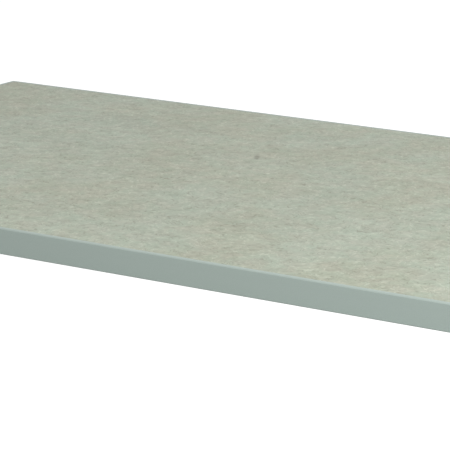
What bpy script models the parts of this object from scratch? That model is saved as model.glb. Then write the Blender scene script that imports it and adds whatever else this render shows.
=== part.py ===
"""Linoleum-faced worktop for a workbench, lying face up.

A chipboard core carries a sheet of linoleum on top and a thin balancing laminate below, which keeps the
board flat. Solid plastic edging is glued to all four sides, flush with the linoleum. The long edgings cover
the ends of the short ones. After gluing, one cutter chamfers the outer arrises of the whole board, so each
chamfer runs on across the joints at the corners.

Metres. +X runs along the worktop, +Y to its back and +Z up. The origin is at the middle of the underside.
"""

import bmesh
import bpy
from mathutils import Matrix, Vector

# The finished board
WORKTOP_LENGTH = 1.500
WORKTOP_DEPTH = 0.700

# What it is built up from, top to bottom
LINOLEUM_THICKNESS = 0.0032
CORE_THICKNESS = 0.0250
BACKING_THICKNESS = 0.0012

# The edging all round
EDGING_THICKNESS = 0.0060
ARRIS_CHAMFER = 0.0010

# The glue line between any two pieces
GLUE_LINE = 0.0003

# How far a cutter stands past the board, so that no two faces coincide
CUTTER_MARGIN = 0.0050

# Heights and half sizes that follow from them
CORE_BOTTOM = BACKING_THICKNESS + GLUE_LINE
CORE_TOP = CORE_BOTTOM + CORE_THICKNESS
LINOLEUM_BOTTOM = CORE_TOP + GLUE_LINE
WORKTOP_THICKNESS = LINOLEUM_BOTTOM + LINOLEUM_THICKNESS
HALF_LENGTH = WORKTOP_LENGTH / 2
HALF_DEPTH = WORKTOP_DEPTH / 2


def start_scene(name):
    """Empties the scene and gives the two collections, for the worktop's pieces and for the cutters."""
    for obj in list(bpy.data.objects):
        bpy.data.objects.remove(obj)
    collections = []
    for title in (name, name + "_cutters"):
        collection = bpy.data.collections.new(title)
        bpy.context.scene.collection.children.link(collection)
        collections.append(collection)
    return collections


def plain_material(name, colour, roughness):
    """A Principled material with one colour."""
    material = bpy.data.materials.new(name)
    material.use_nodes = True
    shader = material.node_tree.nodes["Principled BSDF"]
    shader.inputs["Base Color"].default_value = (*colour, 1.0)
    shader.inputs["Roughness"].default_value = roughness
    shader.inputs["Metallic"].default_value = 0.0
    return material


def box(name, low, high, collection):
    """A box between two corners, as a mesh of its real size about its own middle."""
    low = Vector(low)
    high = Vector(high)
    shape = bmesh.new()
    bmesh.ops.create_cube(shape, size=1.0, matrix=Matrix.Diagonal((*(high - low), 1.0)))
    mesh = bpy.data.meshes.new(name)
    shape.to_mesh(mesh)
    shape.free()
    obj = bpy.data.objects.new(name, mesh)
    obj.location = (low + high) / 2
    collection.objects.link(obj)
    return obj


def layer(name, bottom, thickness, material, collection):
    """A sheet or board that fills the space inside the edging, a glue line clear of it."""
    inset = EDGING_THICKNESS + GLUE_LINE
    low = (-HALF_LENGTH + inset, -HALF_DEPTH + inset, bottom)
    high = (HALF_LENGTH - inset, HALF_DEPTH - inset, bottom + thickness)
    sheet = box(name, low, high, collection)
    sheet.data.materials.append(material)
    return sheet


def chamfer_arrises(board):
    """The 45 degree chamfer that the trimming cutter leaves. It stays clear of the linoleum."""
    bevel = board.modifiers.new("chamfered_arrises", "BEVEL")
    bevel.width = min(ARRIS_CHAMFER, EDGING_THICKNESS)
    bevel.segments = 1
    bevel.limit_method = "NONE"


def edging(name, zone_low, zone_high, material, collection, cutters):
    """One strip of edging: the part of the trimmed board that lies in the strip's own zone."""
    board_low = (-HALF_LENGTH, -HALF_DEPTH, 0.0)
    board_high = (HALF_LENGTH, HALF_DEPTH, WORKTOP_THICKNESS)
    strip = box(name, board_low, board_high, collection)
    strip.data.materials.append(material)
    chamfer_arrises(strip)

    zone = box(name + "_zone", zone_low, zone_high, cutters)
    zone.hide_render = True
    zone.display_type = "WIRE"
    keep = strip.modifiers.new("own_zone", "BOOLEAN")
    keep.operation = "INTERSECT"
    keep.solver = "EXACT"
    keep.object = zone
    return strip


def edgings(material, collection, cutters):
    """Front and back strips over the whole length, and left and right strips between them."""
    past_end = HALF_LENGTH + CUTTER_MARGIN
    past_front = HALF_DEPTH + CUTTER_MARGIN
    below = -CUTTER_MARGIN
    above = WORKTOP_THICKNESS + CUTTER_MARGIN
    inner_end = HALF_LENGTH - EDGING_THICKNESS
    inner_front = HALF_DEPTH - EDGING_THICKNESS
    butt_joint = inner_front - GLUE_LINE
    zones = {
        "front_edging": ((-past_end, -past_front, below), (past_end, -inner_front, above)),
        "back_edging": ((-past_end, inner_front, below), (past_end, past_front, above)),
        "left_edging": ((-past_end, -butt_joint, below), (-inner_end, butt_joint, above)),
        "right_edging": ((inner_end, -butt_joint, below), (past_end, butt_joint, above)),
    }
    for name, (low, high) in zones.items():
        edging(name, low, high, material, collection, cutters)


def main():
    worktop, cutters = start_scene("linoleum_worktop")
    linoleum = plain_material("marbled_linoleum", (0.386, 0.418, 0.337), 0.55)
    chipboard = plain_material("chipboard", (0.509, 0.328, 0.156), 0.85)
    laminate = plain_material("balancing_laminate", (0.184, 0.102, 0.056), 0.70)
    plastic = plain_material("grey_edging_plastic", (0.371, 0.445, 0.407), 0.50)

    layer("backing_sheet", 0.0, BACKING_THICKNESS, laminate, worktop)
    layer("core_board", CORE_BOTTOM, CORE_THICKNESS, chipboard, worktop)
    layer("linoleum_sheet", LINOLEUM_BOTTOM, LINOLEUM_THICKNESS, linoleum, worktop)
    edgings(plastic, worktop, cutters)


main()
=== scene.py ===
"""Looks of the linoleum worktop: a marbled linoleum sheet in a grey plastic edging, lying face up.

Metres, in the part's own frame: +X along the worktop, +Y to its back, +Z up, origin in the middle of the
underside. Sizes that the part settles are read from its nodes.
"""

from math import radians

import bmesh
import bpy
import numpy as np
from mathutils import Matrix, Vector


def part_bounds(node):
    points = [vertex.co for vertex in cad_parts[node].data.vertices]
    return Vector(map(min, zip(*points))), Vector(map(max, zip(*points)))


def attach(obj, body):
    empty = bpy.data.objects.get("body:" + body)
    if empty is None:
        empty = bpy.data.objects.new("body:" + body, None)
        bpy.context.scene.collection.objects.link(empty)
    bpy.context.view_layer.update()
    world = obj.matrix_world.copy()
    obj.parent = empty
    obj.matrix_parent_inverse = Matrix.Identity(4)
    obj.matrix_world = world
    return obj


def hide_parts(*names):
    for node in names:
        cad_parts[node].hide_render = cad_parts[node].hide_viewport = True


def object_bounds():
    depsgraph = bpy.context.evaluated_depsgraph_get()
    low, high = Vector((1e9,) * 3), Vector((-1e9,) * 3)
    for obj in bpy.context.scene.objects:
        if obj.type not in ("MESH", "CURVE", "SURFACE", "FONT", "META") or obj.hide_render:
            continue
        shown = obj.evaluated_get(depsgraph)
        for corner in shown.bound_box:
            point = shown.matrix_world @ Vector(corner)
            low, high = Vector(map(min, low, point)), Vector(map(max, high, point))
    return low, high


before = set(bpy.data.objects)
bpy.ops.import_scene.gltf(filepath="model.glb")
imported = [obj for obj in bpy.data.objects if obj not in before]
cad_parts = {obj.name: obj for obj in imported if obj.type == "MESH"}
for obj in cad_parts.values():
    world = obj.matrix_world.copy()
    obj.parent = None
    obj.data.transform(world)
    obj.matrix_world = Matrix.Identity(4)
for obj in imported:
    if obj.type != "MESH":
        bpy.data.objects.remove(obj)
part_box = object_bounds()

MM = 0.001

# The finished board, as the part has it
HALF_LENGTH, HALF_DEPTH, THICKNESS = part_box[1]

# How closely the visible pieces meet: a hairline, where the part keeps a whole glue line open
HAIRLINE = 0.05 * MM

# The 45 degree chamfer along the board's arrises
CHAMFER = 1.0 * MM

# How far the plastic's corners are worn round, and from what angle an edge is such a corner
CORNER_WEAR = 0.12 * MM
CORNER_SEGMENTS = 2
CORNER_ANGLE = radians(30)

# Points of a strip as near as this are one point
MERGE_DISTANCE = 0.001 * MM

# The eased rim of the linoleum and of the laminate, and from what angle an edge is shaded sharp
RIM_EASE = 0.12 * MM
RIM_STEPS = 4
SHARP_ANGLE = radians(40)

# The sheets' grid, and the gentle waves that the glued linoleum keeps, in two directions of x and y
SHEET_PITCH = 12.5 * MM
WAVE_HEIGHT = 0.03 * MM
WAVE_LENGTH = 140 * MM
WAVE_DIRECTIONS = ((1.0, 0.35), (-0.25, 0.8))

# The rolled mass of the linoleum: its curls and its torn edges, and the range over which each moves it
CURL_SIZE = 35 * MM
CURL_RANGE = 20 * MM
TEAR_SIZE = 3 * MM
TEAR_RANGE = 2.5 * MM

# The crumbs that it is rolled from, and for each colour of the mix the share of crumbs that are darker
CRUMB_SIZES = (2.4 * MM, 6.5 * MM)
CRUMB_MIX = [
    (0.0, "#7B7E6D"),
    (0.15, "#9DA18F"),
    (0.40, "#A4AD9B"),
    (0.65, "#A4B1A0"),
    (0.85, "#B5B8A4"),
    (1.0, "#CBCEBD"),
]

# Its clouds, from light green to darker beige, how far they hide the crumbs, and where the broad ones start
# in the endless noise
BROAD_CLOUD = 90 * MM
BROAD_COLOURS = [(0.38, "#A9B5A4"), (0.62, "#A4A58E")]
SMALL_CLOUD = 28 * MM
SMALL_COLOURS = [(0.40, "#A4B3A0"), (0.60, "#A9A99B")]
CLOUD_SHARE = 0.6
CLOUDS_START = (-0.948, -0.215, 0.0)

# Its loops, about 6 mm apart: the size of the noise that they follow, how far the noise changes from one
# loop to the next, and how far at most in a loop's core and within its rim
LOOP_BEND = 14 * MM
LOOP_INTERVAL = 0.16
LOOP_CORE = 0.005
LOOP_RIM = 0.03

# Loops show in patches. The pale and the dark ones: the patch noise where they are strongest, how strong
# they are there, and their colour
LOOP_PATCH = 12 * MM
PALE_LOOPS = (0.58, 0.45, "#CBD1C0")
DARK_LOOPS = (0.42, 0.7, "#878A79")

# The dark crumb: its place, its turn, its reach either way, how strong it is, and from what share of its
# reach to what share it fades
DARK_CRUMB_PLACE = (-0.182, 0.110, THICKNESS)
DARK_CRUMB_TURN = radians(33)
DARK_CRUMB_HALF_SIZE = (3.6 * MM, 12 * MM)
DARK_CRUMB_COLOUR = "#6E6E60"
DARK_CRUMB_SHARE = 0.58
DARK_CRUMB_FADE = (0.5, 1.3)

# Wood flour and chalk, drawn far coarser than they are so that they show, and their factors on the colour
FLOUR_GRAIN = 1.5 * MM
FLOUR_DARKEST = 0.972
FLOUR_LIGHTEST = 1.012

# Broad drifts, twice as long as deep, whose factor on red, green and blue is floor + rise * noise, and
# where they start in it
DRIFT_DEPTH = 80 * MM
DRIFT_SCALE = (0.5, 1.0, 1.0)
DRIFT_RISE = (0.31, 0.31, 0.35)
DRIFT_FLOOR = (0.851, 0.841, 0.821)
DRIFTS_START = (1.606, 4.368, 0.0)

# The pebble that the rolls leave in the face of the linoleum
PEBBLE_SIZE = 2.2 * MM
PEBBLE_DEPTH = 0.08 * MM

# The edging's die lines and mottle, both drawn coarse enough to show
DIE_LINE_WIDTH = 1.2 * MM
DIE_LINE_STRETCH = 60
DIE_LINE_SHARE = 0.6
MOTTLE_SIZE = 0.9 * MM
MOTTLE_COLOURS = [(0.3, "#A1AFA8"), (0.7, "#A7B5AE")]
PLASTIC_RELIEF = 0.04 * MM

# The laminate's paper fibres, drawn coarse enough to show
FIBRE_WIDTH = 1.5 * MM
FIBRE_STRETCH = 6
FIBRE_COLOURS = [(0.3, "#6B4F3A"), (0.7, "#83654B")]
FIBRE_RELIEF = 0.05 * MM

# The core's chips, pressed to half their length
CHIP_LENGTH = 3 * MM
CHIP_SQUEEZE = 2.0
CHIP_COLOURS = [(0.2, "#A98558"), (0.8, "#D0B084")]
CHIP_RELIEF = 0.1 * MM

# The camera, from the straight edges in the photograph
CAMERA_PLACE = (1.4507, -2.4943, 0.7203)
CAMERA_AZIMUTH = radians(32.825)
CAMERA_TILT = radians(14.198)
CAMERA_LENS = 200.83
SENSOR_WIDTH = 36.0

# The pale room, whose light on the board is this share of the white that the camera sees
WHITE = "#FFFFFF"
ROOM_LIGHT = 0.6

# The floor, just clear of the board's underside, and the glow that makes it look white
FLOOR_HALF_SIZE = 60.0
FLOOR_LEVEL = -0.1 * MM
FLOOR_COLOUR = "#CCCCCC"
FLOOR_GLOW = 0.64

# The lamp, in metres and watts
LAMP_PLACE = (1.7, -0.9, 1.4)
LAMP_SIZE = 1.0
LAMP_POWER = 35.8

# The sockets of a Mix node for colours: the share of its second colour, both colours, and the result
SHARE, FIRST, SECOND, MIXED = 0, 6, 7, 2


# Nodes and colours


def linear(hex_colour):
    """The linear RGBA of an sRGB hex colour, by the sRGB curve."""
    value = np.array([int(hex_colour[i : i + 2], 16) for i in (1, 3, 5)]) / 255
    light = np.where(value <= 0.04045, value / 12.92, ((value + 0.055) / 1.055) ** 2.4)
    return (*light.tolist(), 1.0)


def node(tree, kind, inputs=None, output=0, stops=None, **settings):
    """Adds a shader node and gives one of its outputs. An input is a value, or another node's output.

    Settings are the node's properties, and stops are a colour ramp's places and hex colours. A new ramp
    has two stops already.
    """
    made = tree.nodes.new("ShaderNode" + kind)
    for name, value in settings.items():
        setattr(made, name, value)
    for key, value in (inputs or {}).items():
        if isinstance(value, bpy.types.NodeSocket):
            tree.links.new(value, made.inputs[key])
        else:
            made.inputs[key].default_value = value
    for number, (place, colour) in enumerate(stops or []):
        elements = made.color_ramp.elements
        stop = elements[number] if number < 2 else elements.new(place)
        stop.position = place
        stop.color = linear(colour)
    return made.outputs[output] if len(made.outputs) else None


def new_material(name):
    """An empty material, and its node tree."""
    material = bpy.data.materials.new(name)
    material.use_nodes = True
    material.node_tree.nodes.clear()
    return material, material.node_tree


# The linoleum's material


def before_rolling(tree, spot):
    """Where each spot of the face lay before rolling: by curls alone, by curls and tears, by tears alone.

    A spot moves by a noise less its middle value, times the range of the curl or tear.
    """
    pushes = []
    for size in (CURL_SIZE, TEAR_SIZE):
        push = node(tree, "TexNoise", {"Vector": spot, "Scale": 1 / size, "Detail": 2.0}, "Color")
        pushes.append(node(tree, "VectorMath", {0: push, 1: (0.5, 0.5, 0.5)}, operation="SUBTRACT"))
    curl, tear = pushes
    curled = node(tree, "VectorMath", {0: curl, 1: (CURL_RANGE,) * 3, 2: spot}, operation="MULTIPLY_ADD")
    torn = node(tree, "VectorMath", {0: tear, 1: (TEAR_RANGE,) * 3, 2: curled}, operation="MULTIPLY_ADD")
    frayed = node(tree, "VectorMath", {0: tear, 1: (TEAR_RANGE,) * 3, 2: spot}, operation="MULTIPLY_ADD")
    return curled, torn, frayed


def crumbs(tree, torn):
    """Fine and coarse crumbs, each of one colour of the mix."""
    layers = []
    for size in CRUMB_SIZES:
        cells = node(tree, "TexVoronoi", {"Vector": torn, "Scale": 1 / size}, "Color")
        chance = node(tree, "SeparateColor", {"Color": cells})
        layers.append(node(tree, "ValToRGB", {"Fac": chance}, stops=CRUMB_MIX))
    return node(tree, "Mix", {SHARE: 0.5, FIRST: layers[0], SECOND: layers[1]}, MIXED, data_type="RGBA")


def clouds(tree, curled, torn):
    """Broad and small clouds: lighter where the mix holds more green, and darker where more beige."""
    start = node(tree, "Mapping", {"Vector": curled, "Location": CLOUDS_START})
    layers = []
    for place, size, colours in ((start, BROAD_CLOUD, BROAD_COLOURS), (torn, SMALL_CLOUD, SMALL_COLOURS)):
        cloud = node(tree, "TexNoise", {"Vector": place, "Scale": 1 / size, "Detail": 2.0})
        layers.append(node(tree, "ValToRGB", {"Fac": cloud}, stops=colours))
    return node(tree, "Mix", {SHARE: 0.5, FIRST: layers[0], SECOND: layers[1]}, MIXED, data_type="RGBA")


def loops(tree, ground, curled, torn):
    """The ground, with thin pale and dark loops where two colours were drawn out against each other.

    A loop lies wherever one noise is a multiple of the interval. It shows where a second noise leaves its
    middle value: upwards for the pale loops, and downwards for the dark ones.
    """
    bend = node(tree, "TexNoise", {"Vector": torn, "Scale": 1 / LOOP_BEND, "Detail": 1.0})
    away = node(tree, "Math", {0: bend, 1: LOOP_INTERVAL / 2}, operation="PINGPONG")
    inputs = {"Value": away, "From Min": LOOP_CORE, "From Max": LOOP_RIM, "To Min": 1.0, "To Max": 0.0}
    line = node(tree, "MapRange", inputs, interpolation_type="SMOOTHSTEP")
    patch = node(tree, "TexNoise", {"Vector": curled, "Scale": 1 / LOOP_PATCH, "Detail": 1.0})
    for full, most, colour in (PALE_LOOPS, DARK_LOOPS):
        inputs = {"Value": patch, "From Min": 0.5, "From Max": full, "To Min": 0.0, "To Max": most}
        shown = node(tree, "MapRange", inputs, interpolation_type="SMOOTHSTEP")
        shown = node(tree, "Math", {0: line, 1: shown}, operation="MULTIPLY")
        inputs = {SHARE: shown, FIRST: ground, SECOND: linear(colour)}
        ground = node(tree, "Mix", inputs, MIXED, data_type="RGBA")
    return ground


def dark_crumb(tree, ground, frayed):
    """The ground, with the one dark crumb that the rolls left whole.

    A spot's distance from the crumb's middle is taken in units of its half width and half length.
    """
    turn, half_size = (0.0, 0.0, DARK_CRUMB_TURN), (*DARK_CRUMB_HALF_SIZE, 1.0)
    inputs = {"Vector": frayed, "Location": DARK_CRUMB_PLACE, "Rotation": turn, "Scale": half_size}
    away = node(tree, "Mapping", inputs, vector_type="TEXTURE")
    away = node(tree, "VectorMath", {0: away}, "Value", operation="LENGTH")
    start, end = DARK_CRUMB_FADE
    inputs = {"From Min": start, "From Max": end, "To Min": DARK_CRUMB_SHARE, "To Max": 0.0}
    shown = node(tree, "MapRange", {"Value": away, **inputs}, interpolation_type="SMOOTHSTEP")
    inputs = {SHARE: shown, FIRST: ground, SECOND: linear(DARK_CRUMB_COLOUR)}
    return node(tree, "Mix", inputs, MIXED, data_type="RGBA")


def flour_and_drifts(tree, marbled, spot, curled):
    """The marbling, times the factors of the wood flour and of the drifts, bluer where they are lighter."""
    flour = node(tree, "TexNoise", {"Vector": spot, "Scale": 1 / FLOUR_GRAIN, "Detail": 2.0})
    inputs = {"From Min": 0.25, "From Max": 0.75, "To Min": FLOUR_DARKEST, "To Max": FLOUR_LIGHTEST}
    tone = node(tree, "MapRange", {"Value": flour, **inputs})
    place = node(tree, "Mapping", {"Vector": curled, "Location": DRIFTS_START, "Scale": DRIFT_SCALE})
    inputs = {"Vector": place, "Scale": 1 / DRIFT_DEPTH, "Detail": 3.0, "Roughness": 0.65}
    drift = node(tree, "TexNoise", inputs)
    tint = node(tree, "VectorMath", {0: drift, 1: DRIFT_RISE, 2: DRIFT_FLOOR}, operation="MULTIPLY_ADD")
    colour = node(tree, "VectorMath", {0: marbled, "Scale": tone}, operation="SCALE")
    return node(tree, "VectorMath", {0: colour, 1: tint}, operation="MULTIPLY")


def marbled_linoleum():
    """Linoleum: linseed oil, wood flour and chalk, rolled from crumbs of pale greens, greys and creams.

    The rolls curl the mass and tear the edges of its crumbs, so it is dense short marbling, nearly even
    from afar. The surface is silky, with the faint pebble of the rolls.
    """
    material, tree = new_material("marbled_linoleum")
    spot = node(tree, "TexCoord", output="Object")
    curled, torn, frayed = before_rolling(tree, spot)
    inputs = {SHARE: CLOUD_SHARE, FIRST: crumbs(tree, torn), SECOND: clouds(tree, curled, torn)}
    marbled = node(tree, "Mix", inputs, MIXED, data_type="RGBA")
    marbled = loops(tree, marbled, curled, torn)
    marbled = dark_crumb(tree, marbled, frayed)
    colour = flour_and_drifts(tree, marbled, spot, curled)

    pebble = node(tree, "TexNoise", {"Vector": spot, "Scale": 1 / PEBBLE_SIZE, "Detail": 2.0})
    bump = node(tree, "Bump", {"Height": pebble, "Strength": 0.25, "Distance": PEBBLE_DEPTH})
    inputs = {"Base Color": colour, "Roughness": 0.55, "IOR": 1.48, "Normal": bump}
    finish = node(tree, "BsdfPrincipled", inputs)
    node(tree, "OutputMaterial", {"Surface": finish})
    return material


# The other materials


def edging_plastic():
    """Extruded ABS, grey-green right through: even and slightly silky, with faint lines from the die."""
    material, tree = new_material("extruded_grey_abs")
    strip = node(tree, "UVMap", uv_map="strip")
    drawn = node(tree, "Mapping", {"Vector": strip, "Scale": (1 / DIE_LINE_STRETCH, 1.0, 1.0)})
    die_lines = node(tree, "TexNoise", {"Vector": drawn, "Scale": 1 / DIE_LINE_WIDTH, "Detail": 2.0})
    spot = node(tree, "TexCoord", output="Object")
    mottle = node(tree, "TexNoise", {"Vector": spot, "Scale": 1 / MOTTLE_SIZE, "Detail": 1.0})
    height = node(tree, "Math", {0: die_lines, 1: DIE_LINE_SHARE, 2: mottle}, operation="MULTIPLY_ADD")
    bump = node(tree, "Bump", {"Height": height, "Strength": 0.3, "Distance": PLASTIC_RELIEF})
    colour = node(tree, "ValToRGB", {"Fac": mottle}, stops=MOTTLE_COLOURS)
    inputs = {"Base Color": colour, "Roughness": 0.5, "IOR": 1.5, "Normal": bump}
    finish = node(tree, "BsdfPrincipled", inputs)
    node(tree, "OutputMaterial", {"Surface": finish})
    return material


def balancing_laminate():
    """Kraft balancing laminate: brown paper pressed with resin, sanded for the glue and dull."""
    material, tree = new_material("sanded_kraft_laminate")
    spot = node(tree, "TexCoord", output="Object")
    drawn = node(tree, "Mapping", {"Vector": spot, "Scale": (1 / FIBRE_STRETCH, 1.0, 1.0)})
    fibres = node(tree, "TexNoise", {"Vector": drawn, "Scale": 1 / FIBRE_WIDTH, "Detail": 3.0})
    colour = node(tree, "ValToRGB", {"Fac": fibres}, stops=FIBRE_COLOURS)
    bump = node(tree, "Bump", {"Height": fibres, "Strength": 0.3, "Distance": FIBRE_RELIEF})
    finish = node(tree, "BsdfPrincipled", {"Base Color": colour, "Roughness": 0.7, "Normal": bump})
    node(tree, "OutputMaterial", {"Surface": finish})
    return material


def chipboard():
    """Chipboard: pressed softwood chips, each a little lighter or darker than the next."""
    material, tree = new_material("pressed_chipboard")
    spot = node(tree, "TexCoord", output="Object")
    laid = node(tree, "Mapping", {"Vector": spot, "Scale": (1.0, 1.0, CHIP_SQUEEZE)})
    chips = node(tree, "TexVoronoi", {"Vector": laid, "Scale": 1 / CHIP_LENGTH}, "Color")
    colour = node(tree, "ValToRGB", {"Fac": chips}, stops=CHIP_COLOURS)
    bump = node(tree, "Bump", {"Height": chips, "Strength": 0.4, "Distance": CHIP_RELIEF})
    finish = node(tree, "BsdfPrincipled", {"Base Color": colour, "Roughness": 0.85, "Normal": bump})
    node(tree, "OutputMaterial", {"Surface": finish})
    return material


# Meshes


def new_piece(name, points, faces, material):
    """An object at the origin, with its place in its mesh."""
    mesh = bpy.data.meshes.new(name)
    mesh.from_pydata(points.tolist(), [], faces)
    mesh.materials.append(material)
    piece = bpy.data.objects.new(name, mesh)
    bpy.context.scene.collection.objects.link(piece)
    return piece


def rim_stations(half):
    """Grid lines across a sheet, even between its rims, and how far each has gone over a rim.

    Over a rim the place goes as the sine of an angle, from the start of the easing to the edge.
    """
    flat = half - RIM_EASE
    over = np.sin(np.linspace(0, np.pi / 2, RIM_STEPS + 1))[1:]
    even = np.linspace(-flat, flat, round(2 * flat / SHEET_PITCH) + 1)
    place = np.concatenate([-flat - RIM_EASE * over[::-1], even, flat + RIM_EASE * over])
    gone = np.concatenate([over[::-1], np.zeros_like(even), over])
    return place, gone


def sheet(name, low, high, face_up, wave, material):
    """A flat sheet with a plain back and a face whose rim is eased over.

    The face sinks below its highest level by wave * ripple + ease * (1 - sqrt(1 - p * p)), where p is how
    far the point has gone over the rim and ripple is two crossing sine waves, between 0 and 1.
    """
    low, high = np.array(low), np.array(high)
    middle, half = (low + high) / 2, (high - low) / 2
    (x, over_x), (y, over_y) = rim_stations(half[0]), rim_stations(half[1])
    x, y = np.meshgrid(x + middle[0], y + middle[1], indexing="ij")
    over = np.clip(np.hypot(*np.meshgrid(over_x, over_y, indexing="ij")), 0, 1)
    turn = 2 * np.pi / WAVE_LENGTH
    ripple = 0.5
    for along, across in WAVE_DIRECTIONS:
        ripple = ripple + 0.5 / len(WAVE_DIRECTIONS) * np.sin(turn * (along * x + across * y))
    sink = wave * ripple + RIM_EASE * (1 - np.sqrt(1 - over * over))
    upper = high[2] - sink if face_up else np.full_like(sink, high[2])
    lower = np.full_like(sink, low[2]) if face_up else low[2] + sink
    points = np.stack([np.stack([x, y, z], axis=-1) for z in (upper, lower)])

    number = np.arange(x.size).reshape(x.shape)
    cells = np.stack([number[:-1, :-1], number[1:, :-1], number[1:, 1:], number[:-1, 1:]], axis=-1)
    cells = cells.reshape(-1, 4)
    rim = np.concatenate([number[:-1, 0], number[-1, :-1], number[:0:-1, -1], number[0, :0:-1]])
    sides = np.stack([rim, rim + x.size, np.roll(rim, -1) + x.size, np.roll(rim, -1)], axis=-1)
    faces = np.concatenate([cells, cells[:, ::-1] + x.size, sides])
    piece = new_piece(name, points.reshape(-1, 3), faces.tolist(), material)
    piece.data.shade_smooth()
    piece.data.set_sharp_from_angle(angle=SHARP_ANGLE)
    return piece


def edging_strip(name, outward, start, end, thickness, wraps, material):
    """One strip of edging: a section carried along the board's side, from start to end.

    The section is a box with its two outer corners cut at 45 degrees. Where the strip wraps the board's
    corner, the section at s from the end is drawn in by chamfer - s on its outer side, top and bottom, and
    its corners are cut by s, which leaves the corner of three crossing chamfers.
    """
    insets = np.array([CHAMFER, 0.0, 0.0, CHAMFER]) if wraps else np.zeros(2)
    along = np.array([start, start + CHAMFER, end - CHAMFER, end]) if wraps else np.array([start, end])
    cut = CHAMFER - insets
    top, low = THICKNESS - insets, insets
    inner = np.full_like(insets, thickness)
    depth = np.stack([inner, inner, insets + cut, insets, insets, insets + cut], axis=1)
    height = np.stack([low, top, top, top - cut, low + cut, low], axis=1)

    outward = np.array([*outward, 0.0])
    forward = np.cross([0.0, 0.0, 1.0], outward)
    reach = abs(outward @ [HALF_LENGTH, HALF_DEPTH, 0.0])
    points = (reach - depth)[..., None] * outward + along[:, None, None] * forward
    points[..., 2] = height

    rows, corners = depth.shape
    ring = np.arange(corners)
    first = np.arange(rows - 1)[:, None] * corners
    here, beside = first + ring, first + np.roll(ring, -1)
    around = np.stack([here, here + corners, beside + corners, beside], axis=-1).reshape(-1, 4)
    ends = [ring.tolist(), (ring[::-1] + (rows - 1) * corners).tolist()]
    piece = new_piece(name, points.reshape(-1, 3), around.tolist() + ends, material)

    # The strip's own UV, in metres: how far along it, and how far round its section from the inner bottom
    step = np.hypot(np.diff(depth, axis=1), np.diff(height, axis=1))
    round_it = np.concatenate([np.zeros((rows, 1)), np.cumsum(step, axis=1)], axis=1)
    corner_uv = np.stack([np.broadcast_to(along[:, None], depth.shape), round_it], axis=-1).reshape(-1, 2)
    corner_of_loop = np.empty(len(piece.data.loops), dtype=np.int32)
    piece.data.loops.foreach_get("vertex_index", corner_of_loop)
    strip_uv = piece.data.uv_layers.new(name="strip")
    strip_uv.data.foreach_set("uv", corner_uv[corner_of_loop].astype(np.float32).ravel())

    # A cut of 0 leaves two points in one place
    shape = bmesh.new()
    shape.from_mesh(piece.data)
    bmesh.ops.remove_doubles(shape, verts=shape.verts, dist=MERGE_DISTANCE)
    bmesh.ops.recalc_face_normals(shape, faces=shape.faces)
    shape.to_mesh(piece.data)
    shape.free()
    wear = piece.modifiers.new("worn_corners", "BEVEL")
    wear.width = CORNER_WEAR
    wear.segments = CORNER_SEGMENTS
    wear.limit_method = "ANGLE"
    wear.angle_limit = CORNER_ANGLE
    wear.harden_normals = True
    piece.data.shade_smooth()
    return piece


# The worktop


def take_place(piece, replaced):
    """Puts a piece in the place of a node of the part."""
    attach(piece, "root")
    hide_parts(replaced)


def build_worktop():
    """The visible pieces of the board, each where its node is, and the chipboard between them."""
    edge_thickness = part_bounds("front_edging")[1].y + HALF_DEPTH
    reach = np.array([HALF_LENGTH, HALF_DEPTH]) - edge_thickness - HAIRLINE

    under_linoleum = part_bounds("linoleum_sheet")[0].z
    low, high = (*-reach, under_linoleum), (*reach, THICKNESS)
    top_sheet = sheet("marbled_sheet", low, high, True, WAVE_HEIGHT, marbled_linoleum())
    take_place(top_sheet, "linoleum_sheet")

    over_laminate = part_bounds("backing_sheet")[1].z
    low, high = (*-reach, 0.0), (*reach, over_laminate)
    under_sheet = sheet("balancing_sheet", low, high, False, 0.0, balancing_laminate())
    take_place(under_sheet, "backing_sheet")

    plastic = edging_plastic()
    whole, between = HALF_LENGTH, reach[1]
    sides = {
        "front": ((0, -1), whole, True),
        "back": ((0, 1), whole, True),
        "left": ((-1, 0), between, False),
        "right": ((1, 0), between, False),
    }
    for side, (outward, half, wraps) in sides.items():
        strip = edging_strip(side + "_strip", outward, -half, half, edge_thickness, wraps, plastic)
        take_place(strip, side + "_edging")

    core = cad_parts["core_board"]
    core.data.materials.clear()
    core.data.materials.append(chipboard())


# The studio


def seen_directly(tree):
    """Gives 1 to the camera, to reflections and to views through something, and 0 to what this lights."""
    kinds = ("Camera", "Glossy", "Transmission")
    camera, glossy, transmission = [node(tree, "LightPath", output=f"Is {kind} Ray") for kind in kinds]
    seen = node(tree, "Math", {0: camera, 1: glossy}, operation="MAXIMUM")
    return node(tree, "Math", {0: seen, 1: transmission}, operation="MAXIMUM")


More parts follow.
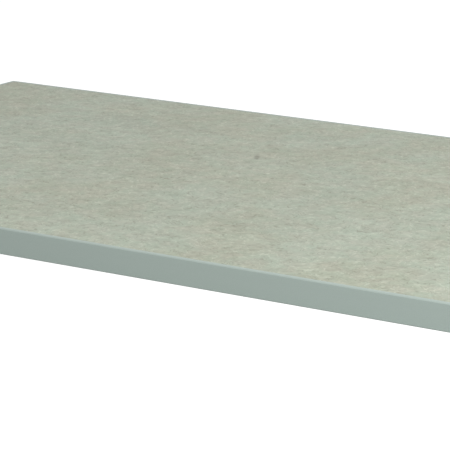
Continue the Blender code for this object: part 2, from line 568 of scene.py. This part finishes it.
def white_world():
    """An even pale room, seen as white."""
    world = bpy.data.worlds.new("pale_room")
    world.use_nodes = True
    tree = world.node_tree
    tree.nodes.clear()
    strength = node(tree, "MapRange", {"Value": seen_directly(tree), "To Min": ROOM_LIGHT, "To Max": 1.0})
    light = node(tree, "Background", {"Color": linear(WHITE), "Strength": strength})
    node(tree, "OutputWorld", {"Surface": light})
    bpy.context.scene.world = world


def pale_floor():
    """A matt pale floor with enough glow of its own to look white, but for the board's shadow."""
    corners = np.array([(-1, -1, 0), (1, -1, 0), (1, 1, 0), (-1, 1, 0)]) * FLOOR_HALF_SIZE
    corners[:, 2] = FLOOR_LEVEL
    material, tree = new_material("matt_pale_floor")
    matt = node(tree, "BsdfDiffuse", {"Color": linear(FLOOR_COLOUR)})
    glow = node(tree, "Math", {0: seen_directly(tree), 1: FLOOR_GLOW}, operation="MULTIPLY")
    lit = node(tree, "Emission", {"Color": linear(WHITE), "Strength": glow})
    node(tree, "OutputMaterial", {"Surface": node(tree, "AddShader", {0: matt, 1: lit})})
    new_piece("studio_floor", corners, [(0, 1, 2, 3)], material)


def key_softbox():
    """A square lamp with a soft edge to its shadows, turned to the middle of the board."""
    data = bpy.data.lights.new("key_softbox", "AREA")
    data.shape = "SQUARE"
    data.size = LAMP_SIZE
    data.energy = LAMP_POWER
    lamp = bpy.data.objects.new("key_softbox", data)
    lamp.location = LAMP_PLACE
    lamp.rotation_euler = (-Vector(LAMP_PLACE)).to_track_quat("-Z", "Y").to_euler()
    bpy.context.scene.collection.objects.link(lamp)


def photo_camera():
    """A long lens, low before the board's right end."""
    data = bpy.data.cameras.new("photo_camera")
    data.lens = CAMERA_LENS
    data.sensor_width = SENSOR_WIDTH
    camera = bpy.data.objects.new("photo_camera", data)
    camera.location = CAMERA_PLACE
    camera.rotation_euler = (radians(90) - CAMERA_TILT, 0.0, CAMERA_AZIMUTH)
    bpy.context.scene.collection.objects.link(camera)
    bpy.context.scene.camera = camera


bpy.context.scene.view_settings.view_transform = "Standard"
photo_camera()
build_worktop()
white_world()
pale_floor()
key_softbox()
